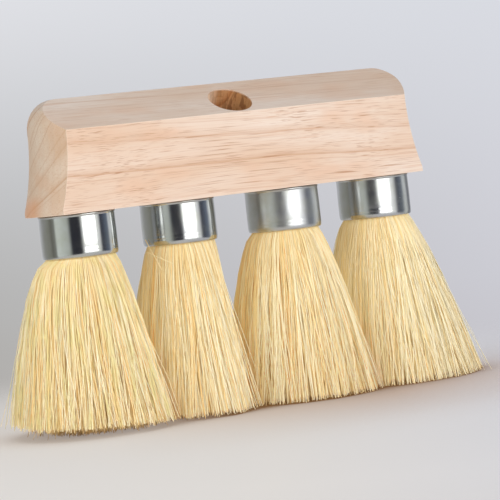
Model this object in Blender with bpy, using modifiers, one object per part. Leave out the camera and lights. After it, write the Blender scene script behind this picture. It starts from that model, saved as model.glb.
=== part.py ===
"""Roof brush with four fibre knots.

A hardwood block carries four knots in a shallow zig-zag. Each knot is a drawn
steel ferrule, screwed to the underside of the block and filled with a set
plug that grips the butts of the fibre. The block's bevelled front holds a
tapered socket for the handle.

Units are metres, +Z is up, and the fibre tips stand on Z = 0. The bevelled
side of the block faces -Y.
"""

import math
import random

import bmesh
import bpy
from mathutils import Matrix, Vector

# Block
block_length = 0.2802
block_depth = 0.0533
block_forward = 0.0013
block_front_height = 0.0512
block_rear_height = 0.0712
block_top_flat = 0.0212
end_plan_radius = 0.0458
end_flare = 0.0079
end_land_height = 0.0030
end_straight_height = 0.0010
end_top_radii = (0.0187, 0.0112)
block_edge_radius = 0.0006

# Handle socket, square to the bevelled front
socket_mouth_diameter = 0.0286
socket_floor_diameter = 0.0222
socket_depth = 0.0500
socket_point_depth = 0.0040
socket_front_margin = 0.0012

# Knots
knot_count = 4
knot_pitch = 0.0740
knot_stagger = 0.0030

# Ferrule
ferrule_diameter = 0.0476
ferrule_height = 0.0267
ferrule_wall = 0.0007
ferrule_shoulder_radius = 0.0022
ferrule_lip_radius = 0.0018
ferrule_lip_turn = math.radians(60)

# Ferrule screw
screw_shank_diameter = 0.0048
screw_head_diameter = 0.0095
screw_head_height = 0.0028
screw_rim_height = 0.0014
screw_length = 0.0260
screw_point_length = 0.0050
pilot_extra_depth = 0.0020

# Set plug and fibre
setting_depth = 0.0140
fibre_trim = 0.10795
fibre_spread = 0.0510
fibre_end_lean = 0.0050
fibre_floor_cut = 0.0005
fibre_ragged = 0.0050
strand_rings = 5
strands_per_ring_step = 6
strand_gap = 0.0004
strand_root_sink = 0.0010

# Shares of the fibre's free length at which a strand bends, and of its spread there
strand_bend_shares = (0.12, 0.42)
strand_spread_shares = (0.26, 0.58)
strand_width_shares = (0.98, 0.92, 0.80, 0.58)
strand_wander_shares = (0.0, 0.0, 0.05, 0.15)
strand_edge_share = 0.35
strand_floor_share = 0.40
neighbour_sharpness = 8

# Fits and cuts
seat_gap = 0.0003
screw_clearance = 0.0003
cut_overrun = 0.0100

# Facets and shading
arc_steps = 9
crown_steps = 12
edge_steps = 2
shoulder_steps = 3
lip_steps = 2
dome_steps = 3
plug_shoulder_steps = 2
socket_sides = 48
ferrule_sides = 36
plug_sides = 24
screw_sides = 16
slice_sides = 14
weld_distance = 0.00001
eased_edge_angle = math.radians(25)
smooth_angle = math.radians(32)

# Sizes that follow from the ones above
half_depth = block_depth / 2
block_base_z = fibre_trim + ferrule_height + seat_gap
bevel_run = block_depth - block_top_flat
bevel_rise = block_rear_height - block_front_height
bevel_angle = math.atan2(bevel_rise, bevel_run)
front_y = -half_depth - block_forward
cove_top_height = block_rear_height - max(end_top_radii) - end_straight_height
cove_height = cove_top_height - end_land_height
cove_radius = (cove_height ** 2 + end_flare ** 2) / (2 * end_flare)
ferrule_radius = ferrule_diameter / 2
ferrule_top_z = block_base_z - seat_gap
ferrule_foot_z = ferrule_top_z - ferrule_height
lip_height = ferrule_lip_radius * math.sin(ferrule_lip_turn)
lip_inset = ferrule_lip_radius * (1 - math.cos(ferrule_lip_turn))
mouth_radius = ferrule_radius - lip_inset - ferrule_wall * math.cos(ferrule_lip_turn)
plug_radius = ferrule_radius - ferrule_wall - seat_gap
plug_top_z = ferrule_top_z - ferrule_wall - seat_gap
plug_foot_z = plug_top_z - setting_depth
slice_top_z = plug_foot_z - seat_gap
slice_foot_z = ferrule_foot_z + lip_height + seat_gap
screw_seat_z = plug_top_z
screw_tip_z = screw_seat_z + screw_length
pilot_radius = screw_shank_diameter / 2 + screw_clearance


def make_material(name, colour, roughness, metallic=0.0):
    material = bpy.data.materials.new(name)
    material.use_nodes = True
    shader = material.node_tree.nodes["Principled BSDF"]
    shader.inputs["Base Color"].default_value = (*colour, 1.0)
    shader.inputs["Roughness"].default_value = roughness
    shader.inputs["Metallic"].default_value = metallic
    material.diffuse_color = (*colour, 1.0)
    return material


def hardwood():
    return make_material("hardwood", (0.72, 0.52, 0.36), 0.6)


def plated_steel():
    return make_material("plated_steel", (0.66, 0.68, 0.70), 0.16, 1.0)


def screw_steel():
    return make_material("screw_steel", (0.52, 0.50, 0.44), 0.35, 1.0)


def set_resin():
    return make_material("set_resin", (0.20, 0.13, 0.06), 0.45)


def tampico_fibre():
    return make_material("tampico_fibre", (0.76, 0.63, 0.36), 0.75)


def clear_scene():
    for thing in list(bpy.data.objects):
        bpy.data.objects.remove(thing, do_unlink=True)


def make_collection(name):
    collection = bpy.data.collections.new(name)
    bpy.context.scene.collection.children.link(collection)
    return collection


def add_object(name, mesh, collection, material=None):
    part = bpy.data.objects.new(name, mesh)
    collection.objects.link(part)
    if material and not mesh.materials:
        mesh.materials.append(material)
    return part


def add_cutter(name, mesh, cutters):
    cutter = add_object(name, mesh, cutters)
    cutter.hide_render = True
    cutter.display_type = "WIRE"
    return cutter


def add_empty(name, collection, location, turn=0.0, parent=None):
    empty = bpy.data.objects.new(name, None)
    collection.objects.link(empty)
    empty.location = location
    empty.rotation_euler = (0, 0, turn)
    empty.parent = parent
    return empty


def boolean(part, cutter, operation="DIFFERENCE"):
    modifier = part.modifiers.new(operation.lower() + "_" + cutter.name, "BOOLEAN")
    modifier.operation = operation
    modifier.solver = "EXACT"
    modifier.object = cutter


def shade_round(mesh):
    mesh.shade_smooth()
    mesh.set_sharp_from_angle(angle=smooth_angle)


def mesh_from_bmesh(name, bm):
    mesh = bpy.data.meshes.new(name)
    bmesh.ops.recalc_face_normals(bm, faces=bm.faces)
    bm.to_mesh(mesh)
    bm.free()
    return mesh


def box_mesh(name, low, high):
    bm = bmesh.new()
    bmesh.ops.create_cube(bm, size=1.0)
    low = Vector(low)
    high = Vector(high)
    bmesh.ops.scale(bm, vec=high - low, verts=bm.verts)
    bmesh.ops.translate(bm, vec=(low + high) / 2, verts=bm.verts)
    return mesh_from_bmesh(name, bm)


def arc_points(centre, radius, start, end, steps):
    points = []
    for step in range(steps + 1):
        angle = start + (end - start) * step / steps
        points.append((centre[0] + radius * math.cos(angle), centre[1] + radius * math.sin(angle)))
    return points


def profile_mesh(name, points):
    bm = bmesh.new()
    verts = [bm.verts.new((x, 0, z)) for x, z in points]
    for first, second in zip(verts, verts[1:]):
        bm.edges.new((first, second))
    mesh = bpy.data.meshes.new(name)
    bm.to_mesh(mesh)
    bm.free()
    return mesh


def add_turning(part, sides):
    """Turn a profile about the object's Z axis."""
    screw = part.modifiers.new("turning", "SCREW")
    screw.axis = "Z"
    screw.angle = math.tau
    screw.steps = sides
    screw.render_steps = sides
    screw.use_merge_vertices = True
    screw.merge_threshold = weld_distance
    screw.use_smooth_shade = True
    return screw


# Block


def end_half_length(height, top_radius):
    """Half of the block's length at the middle of an end, at a height above its base."""
    below = min(max(cove_top_height - height, 0), cove_height)
    inset = end_flare - (cove_radius - math.sqrt(cove_radius ** 2 - below ** 2))
    above = max(height - (block_rear_height - top_radius), 0)
    rounding = top_radius - math.sqrt(max(top_radius ** 2 - above ** 2, 0))
    return block_length / 2 - inset - rounding


def end_heights(top_radius):
    """Heights of an end's points: the land, the cove and the rounded top."""
    heights = [0.0]
    heights += [end_land_height + cove_height * step / arc_steps for step in range(arc_steps)]
    for step in range(arc_steps + 1):
        above = top_radius * math.sin(math.pi / 2 * step / arc_steps)
        heights.append(block_rear_height - top_radius + above)
    return heights


def end_fall(across):
    """How far the crowned end falls back from its middle, at a place across the depth."""
    return end_plan_radius - math.sqrt(end_plan_radius ** 2 - across ** 2)


def block_section(across):
    """Outline of the block, seen from the front, at a place across its depth."""
    fall = end_fall(across)
    left_radius, right_radius = end_top_radii
    left = [(fall - end_half_length(height, left_radius), height) for height in end_heights(left_radius)]
    right = [(end_half_length(height, right_radius) - fall, height) for height in end_heights(right_radius)]
    return [(x, across - block_forward, height) for x, height in right + left[::-1]]


def block_mesh():
    """Loft the outline from front to rear, with its ends crowned in plan."""
    bm = bmesh.new()
    plan_angle = math.asin(half_depth / end_plan_radius)
    sections = []
    for step in range(crown_steps + 1):
        across = end_plan_radius * math.sin(plan_angle * (2 * step / crown_steps - 1))
        sections.append([bm.verts.new(point) for point in block_section(across)])
    for front, rear in zip(sections, sections[1:]):
        for index in range(len(front)):
            after = (index + 1) % len(front)
            bm.faces.new((front[index], front[after], rear[after], rear[index]))
    bm.faces.new(sections[0])
    bm.faces.new(reversed(sections[-1]))
    return mesh_from_bmesh("block", bm)


def bevel_cutter(cutters, parent):
    """A slab whose underside is the bevelled front of the block."""
    reach = block_length + end_plan_radius
    slope = bevel_run / math.cos(bevel_angle)
    mesh = box_mesh("bevel_cutter", (-reach / 2, -cut_overrun, 0), (reach / 2, slope + cut_overrun, slope))
    cutter = add_cutter("bevel_cutter", mesh, cutters)
    cutter.location = (0, front_y, block_front_height)
    cutter.rotation_euler = (bevel_angle, 0, 0)
    cutter.parent = parent
    return cutter


def socket_cutter(cutters, parent):
    """The tapered socket, turned about an axis square to the bevelled front."""
    mouth = socket_mouth_diameter / 2
    floor = socket_floor_diameter / 2
    taper = (mouth - floor) / socket_depth
    profile = [
        (0, cut_overrun),
        (mouth + taper * cut_overrun, cut_overrun),
        (floor, -socket_depth),
        (0, -socket_depth - socket_point_depth),
    ]
    cutter = add_cutter("socket_cutter", profile_mesh("socket_cutter", profile), cutters)
    add_turning(cutter, socket_sides)
    centre = mouth + socket_front_margin
    cutter.location = (
        0,
        front_y + centre * math.cos(bevel_angle),
        block_front_height + centre * math.sin(bevel_angle),
    )
    cutter.rotation_euler = (bevel_angle, 0, 0)
    cutter.parent = parent
    return cutter


def pilot_cutter(index, cutters, parent):
    """The hole that a ferrule's screw bites into."""
    depth = screw_tip_z - block_base_z + pilot_extra_depth
    profile = [(0, depth), (pilot_radius, depth), (pilot_radius, -cut_overrun), (0, -cut_overrun)]
    name = "pilot_cutter_" + str(index + 1)
    cutter = add_cutter(name, profile_mesh(name, profile), cutters)
    add_turning(cutter, screw_sides)
    x, y = knot_place(index)
    cutter.location = (x, y, 0)
    cutter.parent = parent
    return cutter


def make_block(parts, cutters, parent, material):
    seat = add_empty("block_base", parts, (0, 0, block_base_z), parent=parent)
    block = add_object("block", block_mesh(), parts, material)
    block.parent = seat
    boolean(block, bevel_cutter(cutters, seat))
    edges = block.modifiers.new("eased_edges", "BEVEL")
    edges.width = block_edge_radius
    edges.segments = edge_steps
    edges.limit_method = "ANGLE"
    edges.angle_limit = eased_edge_angle
    boolean(block, socket_cutter(cutters, seat))
    for index in range(knot_count):
        boolean(block, pilot_cutter(index, cutters, seat))
    shade_round(block.data)


# Knots


def knot_place(index):
    """Centre of a knot, seen from above: odd knots stand forward, even ones back."""
    x = (index - (knot_count - 1) / 2) * knot_pitch
    y = knot_stagger if index % 2 else -knot_stagger
    return x, y


def ferrule_profile():
    shoulder = ferrule_shoulder_radius
    points = [(pilot_radius, ferrule_top_z)]
    shoulder_centre = (ferrule_radius - shoulder, ferrule_top_z - shoulder)
    points += arc_points(shoulder_centre, shoulder, math.pi / 2, 0, shoulder_steps)
    lip_centre = (ferrule_radius - ferrule_lip_radius, ferrule_foot_z + lip_height)
    points += arc_points(lip_centre, ferrule_lip_radius, 0, -ferrule_lip_turn, lip_steps)
    return points


def make_ferrule(name, parts, parent, material):
    """A drawn cup, mouth down, with a rounded shoulder and its lip rolled in."""
    ferrule = add_object(name, profile_mesh(name, ferrule_profile()), parts, material)
    add_turning(ferrule, ferrule_sides)
    wall = ferrule.modifiers.new("wall", "SOLIDIFY")
    wall.thickness = ferrule_wall
    wall.offset = -1
    wall.use_even_offset = True
    ferrule.parent = parent


def screw_profile():
    shank = screw_shank_diameter / 2
    head = screw_head_diameter / 2
    rim_z = screw_seat_z - screw_rim_height
    dome = screw_head_height - screw_rim_height
    points = [(0, screw_tip_z), (shank, screw_tip_z - screw_point_length), (shank, screw_seat_z)]
    points.append((head, screw_seat_z))
    for step in range(dome_steps):
        angle = math.pi / 2 * step / dome_steps
        points.append((head * math.cos(angle), rim_z - dome * math.sin(angle)))
    points.append((0, rim_z - dome))
    return points


def make_screw(name, parts, parent, material):
    """A domed wood screw that stands in the cup with its point in the block."""
    screw = add_object(name, profile_mesh(name, screw_profile()), parts, material)
    add_turning(screw, screw_sides)
    screw.parent = parent


def setting_profile():
    recess = screw_head_diameter / 2 + screw_clearance
    recess_foot = screw_seat_z - screw_head_height - screw_clearance
    shoulder = ferrule_shoulder_radius - ferrule_wall - seat_gap
    points = [(0, recess_foot), (recess, recess_foot), (recess, plug_top_z)]
    shoulder_centre = (plug_radius - shoulder, plug_top_z - shoulder)
    points += arc_points(shoulder_centre, shoulder, math.pi / 2, 0, plug_shoulder_steps)
    points += [(plug_radius, plug_foot_z), (0, plug_foot_z)]
    return points


def make_setting(name, parts, parent, material):
    """The set plug that fills the cup round the head of the screw."""
    setting = add_object(name, profile_mesh(name, setting_profile()), parts, material)
    add_turning(setting, plug_sides)
    setting.parent = parent


def fibre_reach(angle, neighbours, is_end):
    """Radius of a knot at its tips, in one direction, short of its neighbours' halves."""
    reach = fibre_spread
    if is_end:
        outward = max(-math.cos(angle - neighbours[0]), 0)
        reach += fibre_end_lean * outward ** 2
    half_way = math.hypot(knot_pitch, 2 * knot_stagger) / 2 - strand_gap / 2
    total = reach ** -neighbour_sharpness
    for neighbour in neighbours:
        towards = math.cos(angle - neighbour)
        if towards > 0:
            total += (half_way / towards) ** -neighbour_sharpness
    return total ** (-1 / neighbour_sharpness)


def strand_levels(tip_reach):
    """Height and radius of the knot at each level: root, two bends and full length."""
    mouth = mouth_radius - strand_gap
    root_z = slice_foot_z + strand_root_sink
    levels = []
    for bend, spread in zip(strand_bend_shares, strand_spread_shares):
        levels.append((ferrule_foot_z - fibre_trim * bend, mouth + (tip_reach - mouth) * spread))
    first_z, first_radius = levels[0]
    past_mouth = (root_z - ferrule_foot_z) / (root_z - first_z)
    root_radius = (mouth - first_radius * past_mouth) / (1 - past_mouth)
    return [(root_z, root_radius)] + levels + [(-fibre_floor_cut, tip_reach)]


def strand_triangle(radius, angle, size, height):
    """Three corners of a strand, with one side facing out of the knot."""
    centre = Vector((radius * math.cos(angle), radius * math.sin(angle), height))
    corners = []
    for corner in range(3):
        turn = angle + math.pi / 3 + math.tau * corner / 3
        corners.append(centre + Vector((size * math.cos(turn), size * math.sin(turn), 0)))
    return corners


def strand_size(pitch, share):
    """Corner radius of a strand that clears its neighbours in the ring by the gap."""
    spacing = math.tau * pitch / strands_per_ring_step
    return (spacing - strand_gap) / math.sqrt(3) * share


def strand_rings_for(ring, angle, neighbours, is_end, chance):
    """Corners of one strand at each level, down to its own length."""
    levels = strand_levels(fibre_reach(angle, neighbours, is_end))
    sideways = chance.uniform(-1, 1)
    inward = chance.uniform(-1, 1)
    places = []
    for (height, reach), width, wander in zip(levels, strand_width_shares, strand_wander_shares):
        pitch = reach / (strand_rings + strand_edge_share)
        radius = pitch * ring
        turned = angle + sideways * wander * pitch / radius
        if ring < strand_rings:
            radius += inward * wander * pitch
        places.append((height, radius, turned, strand_size(pitch, width)))
    spread = places[-1][1] - places[0][1]
    rise = fibre_trim - math.sqrt(fibre_trim ** 2 - spread ** 2)
    ragged = max(chance.random() - strand_floor_share, 0) * fibre_ragged
    tip_z = rise + ragged
    if tip_z < 2 * fibre_floor_cut:
        tip_z = -fibre_floor_cut
    last = places[-2]
    full = places[-1]
    share = (last[0] - tip_z) / (last[0] - full[0])
    places[-1] = tuple(start + (end - start) * share for start, end in zip(last, full))
    return [strand_triangle(radius, turned, size, height) for height, radius, turned, size in places]


def strands_mesh(name, neighbours, is_end, seed):
    """All of a knot's strands, each on its own ray out of the ferrule, so that none cross."""
    chance = random.Random(seed)
    bm = bmesh.new()
    for ring in range(1, strand_rings + 1):
        count = strands_per_ring_step * ring
        for place in range(count):
            angle = math.tau * (place + ring / 2) / count
            corner_rings = strand_rings_for(ring, angle, neighbours, is_end, chance)
            loops = [[bm.verts.new(corner) for corner in corners] for corners in corner_rings]
            for upper, lower in zip(loops, loops[1:]):
                for corner in range(3):
                    after = (corner + 1) % 3
                    bm.faces.new((upper[corner], lower[corner], lower[after], upper[after]))
            bm.faces.new(loops[0])
            bm.faces.new(reversed(loops[-1]))
    return mesh_from_bmesh(name, bm)


def slice_mesh(name):
    """The last slice of the set butts, which the strands grow out of."""
    bm = bmesh.new()
    height = slice_top_z - slice_foot_z
    bmesh.ops.create_cone(
        bm,
        cap_ends=True,
        segments=slice_sides,
        radius1=plug_radius,
        radius2=plug_radius,
        depth=height,
        matrix=Matrix.Translation((0, 0, slice_foot_z + height / 2)),
    )
    return mesh_from_bmesh(name, bm)


def fibre_source(index, cutters):
    """One knot's fibre as a mesh: strands fused to their slice and trimmed on the floor."""
    x, y = knot_place(index)
    neighbours = []
    for other in (index - 1, index + 1):
        if 0 <= other < knot_count:
            other_x, other_y = knot_place(other)
            neighbours.append(math.atan2(other_y - y, other_x - x))
    name = "fibre_form_" + str(index + 1)
    is_end = len(neighbours) == 1
    strands = add_cutter(name + "_strands", strands_mesh(name, neighbours, is_end, index + 1), cutters)
    reach = fibre_spread + fibre_end_lean + cut_overrun
    floor = box_mesh("floor_cutter", (-reach, -reach, -cut_overrun), (reach, reach, 0))
    floor_cutter = add_cutter(name + "_floor_cutter", floor, cutters)
    fused = add_cutter(name, slice_mesh(name), cutters)
    boolean(fused, strands, "UNION")
    boolean(fused, floor_cutter)
    graph = bpy.context.evaluated_depsgraph_get()
    mesh = bpy.data.meshes.new_from_object(fused.evaluated_get(graph))
    for used in (fused, strands, floor_cutter):
        bpy.data.objects.remove(used, do_unlink=True)
    mesh.name = "fibre_knot"
    return mesh


def make_knots(parts, cutters, parent, materials):
    """Each half of the brush is the other turned half round, so two fibre forms do for four."""
    forms = []
    for index in range((knot_count + 1) // 2):
        forms.append(fibre_source(index, cutters))
    for index in range(knot_count):
        number = str(index + 1)
        x, y = knot_place(index)
        turned = index >= len(forms)
        form = forms[knot_count - 1 - index] if turned else forms[index]
        knot = add_empty("knot_" + number, parts, (x, y, 0), math.pi if turned else 0.0, parent)
        make_ferrule("ferrule_" + number, parts, knot, materials["steel"])
        make_screw("ferrule_screw_" + number, parts, knot, materials["screw"])
        make_setting("setting_" + number, parts, knot, materials["resin"])
        fibre = add_object("fibre_knot_" + number, form, parts, materials["fibre"])
        fibre.parent = knot


def main():
    clear_scene()
    parts = make_collection("roof_brush")
    cutters = make_collection("cutters")
    materials = {
        "steel": plated_steel(),
        "screw": screw_steel(),
        "resin": set_resin(),
        "fibre": tampico_fibre(),
    }
    brush = add_empty("roof_brush", parts, (0, 0, 0))
    make_block(parts, cutters, brush, hardwood())
    make_knots(parts, cutters, brush, materials)
    bpy.context.view_layer.update()


main()
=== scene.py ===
import math
from functools import partial

import bpy
import numpy as np
from mathutils import Matrix, Vector


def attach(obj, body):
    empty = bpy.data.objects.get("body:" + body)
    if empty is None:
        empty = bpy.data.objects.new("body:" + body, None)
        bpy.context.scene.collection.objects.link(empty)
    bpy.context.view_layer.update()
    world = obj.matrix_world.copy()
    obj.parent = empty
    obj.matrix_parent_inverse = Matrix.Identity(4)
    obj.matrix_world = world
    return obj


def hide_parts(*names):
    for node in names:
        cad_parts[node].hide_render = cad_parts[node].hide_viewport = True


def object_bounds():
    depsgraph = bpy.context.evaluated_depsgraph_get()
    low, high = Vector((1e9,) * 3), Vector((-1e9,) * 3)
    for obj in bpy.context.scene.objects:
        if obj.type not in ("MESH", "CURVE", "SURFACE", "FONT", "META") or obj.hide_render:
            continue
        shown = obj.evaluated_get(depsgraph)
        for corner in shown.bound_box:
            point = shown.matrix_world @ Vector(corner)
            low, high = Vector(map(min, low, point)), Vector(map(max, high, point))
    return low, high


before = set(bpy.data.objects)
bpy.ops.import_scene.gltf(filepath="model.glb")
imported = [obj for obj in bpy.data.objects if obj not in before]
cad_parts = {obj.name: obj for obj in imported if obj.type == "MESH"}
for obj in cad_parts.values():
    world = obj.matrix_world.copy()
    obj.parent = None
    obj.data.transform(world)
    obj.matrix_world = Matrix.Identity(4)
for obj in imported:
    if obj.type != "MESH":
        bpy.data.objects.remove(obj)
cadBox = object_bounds()
scene = bpy.context.scene
mm = 0.001
goldenAngle = math.pi * (3 - math.sqrt(5))
eased = {"interpolation_type": "SMOOTHSTEP"}  # for a map range with soft ends


# small helpers

def toLinear(hexColour):
    # sRGB hex to the linear values that Blender works in
    channels = []
    for start in (0, 2, 4):
        value = int(hexColour[start:start + 2], 16) / 255
        channels.append(value / 12.92 if value <= 0.04045 else ((value + 0.055) / 1.055) ** 2.4)
    return (*channels, 1.0)


def addNode(tree, kind, settings=None, links=None, output=None):
    # kind may name an operation after a dot; a name in settings is an input's name or number, or else one
    # of the node's own properties, and a colour is sRGB hex; what comes back is one output, by name or number
    kind, _, operation = kind.partition(".")
    node = tree.nodes.new("ShaderNode" + kind)
    if operation:
        node.operation = operation
    if kind == "Mix":
        # here it mixes colours, which come in at 6 and 7 and go out at 2
        node.data_type = "RGBA"
    for name, value in (settings or {}).items():
        if isinstance(name, int) or name in node.inputs:
            node.inputs[name].default_value = toLinear(value) if isinstance(value, str) else value
        else:
            setattr(node, name, value)
    for name, source in (links or {}).items():
        tree.links.new(source, node.inputs[name])
    if node.outputs:
        return node.outputs[output or (2 if kind == "Mix" else 0)]


def setRamp(node, stops, interpolation="LINEAR"):
    ramp = node.color_ramp
    ramp.interpolation = interpolation
    while len(ramp.elements) < len(stops):
        ramp.elements.new(0.5)
    for element, (place, colour) in zip(ramp.elements, stops):
        element.position = place
        element.color = toLinear(colour) if isinstance(colour, str) else (colour, colour, colour, 1.0)


def newMaterial(name, roughness=0.5, metallic=0.0):
    material = bpy.data.materials.new(name)
    material.use_nodes = True
    shader = material.node_tree.nodes["Principled BSDF"]
    shader.inputs["Roughness"].default_value = roughness
    shader.inputs["Metallic"].default_value = metallic
    return material, shader, partial(addNode, material.node_tree)


def connect(node, sources):
    for name, source in sources.items():
        node.id_data.links.new(source, node.inputs[name])


def dress(nodeName, material):
    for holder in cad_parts[nodeName].material_slots:
        holder.material = material


def perMetre(sizes):
    # pattern scale from the sizes in mm of what the pattern draws, along X, Y and Z
    return tuple(1000 / size for size in sizes)


def pointing(heading, elevation):
    # both in degrees, heading from +Y towards +X
    heading, elevation = math.radians(heading), math.radians(elevation)
    level = math.cos(elevation)
    return Vector((math.sin(heading) * level, math.cos(heading) * level, math.sin(elevation)))


def smooth(low, high, value):
    share = np.clip((value - low) / (high - low), 0, 1)
    return share * share * (3 - 2 * share)


def between(first, second, share):
    return first * (1 - share) + second * share


def newThing(name, data):
    thing = bpy.data.objects.new(name, data)
    scene.collection.objects.link(thing)
    return thing


def meshFromArrays(name, points, faceLists, attributes=None):
    # faceLists holds one array for each number of corners
    mesh = bpy.data.meshes.new(name)
    loops = np.concatenate([faces.ravel() for faces in faceLists])
    totals = np.concatenate([np.full(len(faces), faces.shape[1]) for faces in faceLists])
    starts = np.concatenate(([0], np.cumsum(totals)[:-1]))
    mesh.vertices.add(len(points))
    mesh.vertices.foreach_set("co", points.astype(np.float32).ravel())
    mesh.loops.add(len(loops))
    mesh.loops.foreach_set("vertex_index", loops.astype(np.int32))
    mesh.polygons.add(len(totals))
    mesh.polygons.foreach_set("loop_start", starts.astype(np.int32))
    mesh.update(calc_edges=True)
    for key, values in (attributes or {}).items():
        layer = mesh.attributes.new(key, "FLOAT", "POINT")
        layer.data.foreach_set("value", values.astype(np.float32).ravel())
    mesh.shade_smooth()
    return newThing(name, mesh)


# camera at the photograph's angle

camera = {
    "place": (-0.81201, -1.42535, 0.16691),
    "heading": 30.0,  # degrees from +Y towards +X
    "pitch": -2.415,
    "roll": 6.38,
    "lens": 184.66,
    "sensor": 36.0,
    "clip": (0.05, 50.0),
}
rightward = pointing(camera["heading"] + 90, 0)  # level, and to the right in the picture


def makeCamera():
    forward = pointing(camera["heading"], camera["pitch"])
    upright = rightward.cross(forward)
    roll = math.radians(camera["roll"])
    right = rightward * math.cos(roll) - upright * math.sin(roll)
    up = rightward * math.sin(roll) + upright * math.cos(roll)
    data = bpy.data.cameras.new("photoCamera")
    data.lens = camera["lens"]
    data.sensor_width = camera["sensor"]
    data.clip_start, data.clip_end = camera["clip"]
    thing = newThing("photoCamera", data)
    turn = Matrix((right, up, -forward)).transposed().to_4x4()
    thing.matrix_world = Matrix.Translation(camera["place"]) @ turn
    scene.camera = thing


makeCamera()
print("camera set")


# studio: a pale sweep, a big soft light in front of the block's face and what the bright ferrules mirror
# in every dictionary, a map range turns 1 and 2 into 3 and 4, which are 0 and 1 where they aren't given

studio = {
    # heading in degrees from +Y towards +X, and what stands there, at the height of the ferrules
    "panorama": (
        (0, "c8c9cd"), (50, "c6c7cd"), (62, "85868c"), (76, "7a7c84"),
        (85, "e6e8ea"), (99, "e6e8ea"), (106, "7b8494"), (117, "666d7c"),
        (128, "4a4d5a"), (134, "474a56"), (141, "ffffff"), (193, "ffffff"),
        (200, "34343b"), (228, "3a3a41"), (238, "cacec8"), (261, "e0e5de"),
        (269, "e7ece4"), (277, "e7ece4"), (283, "8f9089"), (295, "7b7a72"),
        (306, "97978f"), (335, "a6a6a3"), (360, "c8c9cd"),
    ),
    "panoramaStrength": 1.0,
    "overhead": "e6e8ef",
    "overheadStrength": 0.54,
    # degrees above the horizon where the bands give way to the ceiling, and below it to the floor
    "overheadRange": {1: 22.0, 2: 42.0, **eased},
    "below": "d6d2cd",
    "belowRange": {1: -18.0, 2: -32.0},
    # what the camera sees behind the brush, by elevation in degrees
    "backdropLeft": (
        (-9, "d2cfca"), (-6.6, "bebbb6"), (-5.2, "b2afac"), (-3.5, "b0afad"), (0, "c2c3c5"), (4, "e6e7ec")),
    "backdropRight": (
        (-9, "d6d4d4"), (-6.6, "c9c7cb"), (-5.2, "c7c6cd"), (-3.5, "ccccd4"), (0, "d4d5dc"), (4, "dcdfe6")),
    "backdropTurn": (30.0, 6.0),  # heading where left gives way to right, and half the width of the change
    "floorReach": 0.62,  # metres, as are the floor's other lengths
    "floorFade": (0.28, 0.6076),
    "floorCentre": (0.0, -0.14, 0.0),
    "floorRings": 24,
    "floorSides": 96,
    "floorRoughness": 0.75,
    "floorColour": "ece8e2",
    "floorGlow": "e6e2de",  # lit from below as well, so the shadow stays soft and pale
    "floorGlowRight": "d8d9e2",
    "floorGlowShare": 0.55,
    "glowRange": {1: -0.06, 2: 0.08},
    "shadowTint": "ab7f57",  # light that has been through the fibre
    "shadowReach": 0.22,
    "touchTint": "7c5833",  # and right under the tips
    "touchReach": 0.042,
    "touchRange": {1: 1.0, 2: 0.50},
    "shadowSamples": 12,
    # both shadows are deeper towards the right
    "shadowRange": {1: -0.155, 2: 0.02, 3: 0.30, 4: 1.75},
    "deepRange": {1: -0.14, 2: -0.08, 3: 0.42, 4: 1.0},
    # soft lamps: heading and elevation in degrees, distance and size in metres, watts, mirrored or not
    "lamps": (
        ("softKey", 174.0, 14.0, 1.7, (1.30, 1.25), 12.6, True),
        ("softFill", 252.0, 20.0, 1.6, (1.00, 1.00), 8.5, False),
    ),
    "lampAim": (0.0, 0.0, 0.12),
}


def makeWorld():
    world = bpy.data.worlds.new("paleStudio")
    world.use_nodes = True
    scene.world = world
    tree = world.node_tree
    tree.nodes.clear()
    add = partial(addNode, tree)
    direction = add("TexCoord", output="Generated")
    parts = add("SeparateXYZ", links={0: direction}).node.outputs
    away = [add("Math.MULTIPLY", {1: -1.0}, {0: parts[axis]}) for axis in ("X", "Y")]
    heading = add("Math.ARCTAN2", links={0: away[0], 1: away[1]})
    around = add("MapRange", {1: -math.pi, 2: math.pi}, {0: heading})
    rise = add("Math.ARCSINE", links={0: parts["Z"]})
    elevation = add("Math.DEGREES", links={0: rise})

    bands = add("ValToRGB", links={0: around})
    setRamp(bands.node, [(place / 360, colour) for place, colour in studio["panorama"]])
    overhead = add("MapRange", studio["overheadRange"], {0: elevation})
    ceiling = [value * studio["overheadStrength"] for value in toLinear(studio["overhead"])[:3]] + [1.0]
    walls = add("Mix", {7: ceiling}, {0: overhead, 6: bands})
    under = add("MapRange", studio["belowRange"], {0: elevation})
    surround = add("Mix", {7: studio["below"]}, {0: under, 6: walls})
    lit = add("Background", {"Strength": studio["panoramaStrength"]}, {"Color": surround})

    # camera rays see the plain backdrop only
    low, high = studio["backdropLeft"][0][0], studio["backdropLeft"][-1][0]
    height = add("MapRange", {1: low, 2: high}, {0: elevation})
    sides = []
    for key in ("backdropLeft", "backdropRight"):
        sides.append(add("ValToRGB", links={0: height}))
        stops = [((place - low) / (high - low), colour) for place, colour in studio[key]]
        setRamp(sides[-1].node, stops, "B_SPLINE")
    turn, half = studio["backdropTurn"]
    edge = math.sin(math.radians(half))
    sideways = add("VectorMath.DOT_PRODUCT", {1: pointing(turn + 90, 0)}, {0: direction}, "Value")
    across = add("MapRange", {1: -edge, 2: edge}, {0: sideways})
    backdrop = add("Mix", links={0: across, 6: sides[0], 7: sides[1]})
    seen = add("Background", {"Strength": 1.0}, {"Color": backdrop})
    isCamera = add("LightPath", output="Is Camera Ray")
    both = add("MixShader", links={0: isCamera, 1: lit, 2: seen})
    add("OutputWorld", links={0: both})


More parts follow.
